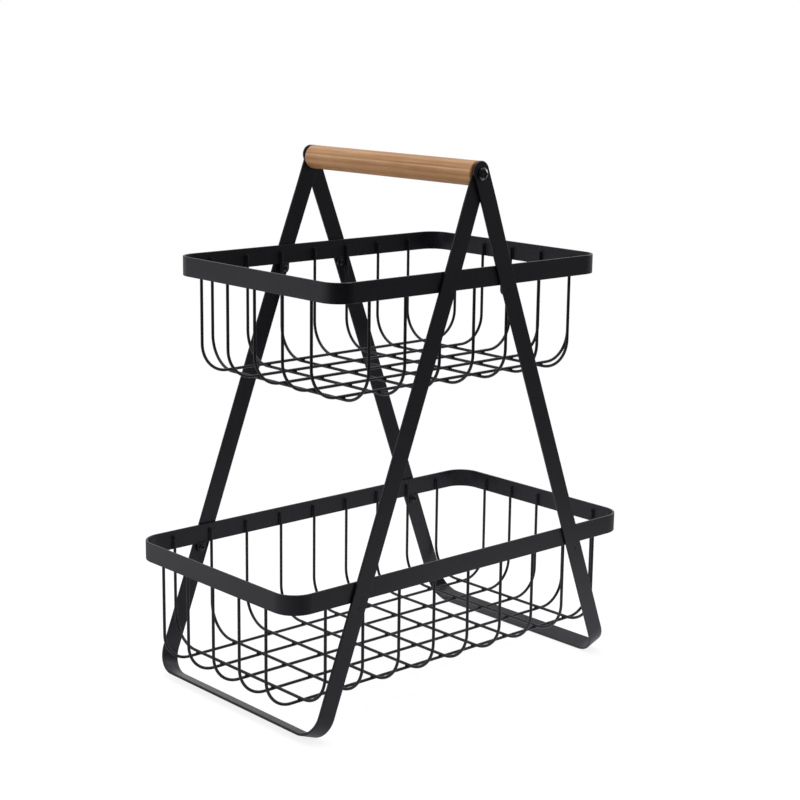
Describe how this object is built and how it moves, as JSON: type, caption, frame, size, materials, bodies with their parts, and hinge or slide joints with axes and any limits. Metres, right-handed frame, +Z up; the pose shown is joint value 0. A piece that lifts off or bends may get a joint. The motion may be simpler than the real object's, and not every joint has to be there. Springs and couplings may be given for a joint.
{
  "type": "two-tier wire basket",
  "caption": "Two wire baskets with flat-strip rims, a short one above a longer one, hung between two leaning strap frames that meet at a round wooden grip.",
  "frame": {"origin": "middle of the footprint, on the surface that the basket stands on", "axes": "+X along the baskets, +Y from front to back along the grip, +Z up"},
  "size_m": [0.375, 0.2172, 0.4401],
  "materials": {
    "black_coat": "satin powder coat",
    "grip_wood": "clear satin",
    "insert_brass": "plain",
    "black_screw": "glossy black plating"
  },
  "bodies": {
    "stand": {"left_frame": "black_coat", "lower_basket_screws": "black_screw", "lower_cross_wire_1": "black_coat", "lower_cross_wire_2": "black_coat", "lower_cross_wire_3": "black_coat", "lower_cross_wire_4": "black_coat", "lower_cross_wire_5": "black_coat", "lower_cross_wire_6": "black_coat", "lower_cross_wire_7": "black_coat", "lower_cross_wire_8": "black_coat", "lower_cross_wire_9": "black_coat", "lower_long_wire_1": "black_coat", "lower_long_wire_2": "black_coat", "lower_long_wire_3": "black_coat", "lower_long_wire_4": "black_coat", "lower_long_wire_5": "black_coat", "lower_lug_back_left": "black_coat", "lower_lug_back_right": "black_coat", "lower_lug_front_left": "black_coat", "lower_lug_front_right": "black_coat", "lower_rim": "black_coat", "right_frame": "black_coat", "upper_basket_screws": "black_screw", "upper_cross_wire_1": "black_coat", "upper_cross_wire_2": "black_coat", "upper_cross_wire_3": "black_coat", "upper_cross_wire_4": "black_coat", "upper_cross_wire_5": "black_coat", "upper_cross_wire_6": "black_coat", "upper_cross_wire_7": "black_coat", "upper_long_wire_1": "black_coat", "upper_long_wire_2": "black_coat", "upper_long_wire_3": "black_coat", "upper_long_wire_4": "black_coat", "upper_long_wire_5": "black_coat", "upper_lug_back_left": "black_coat", "upper_lug_back_right": "black_coat", "upper_lug_front_left": "black_coat", "upper_lug_front_right": "black_coat", "upper_rim": "black_coat"},
    "grip": {"wooden_grip": "grip_wood", "grip_inserts": "insert_brass", "grip_screws": "black_screw"}
  },
  "joints": [
    {"name": "grip_turn", "type": "hinge", "parent": "stand", "child": "grip", "pos_m": [0, 0, 0.43], "axis": [0, 1, 0], "continuous": true}
  ]
}
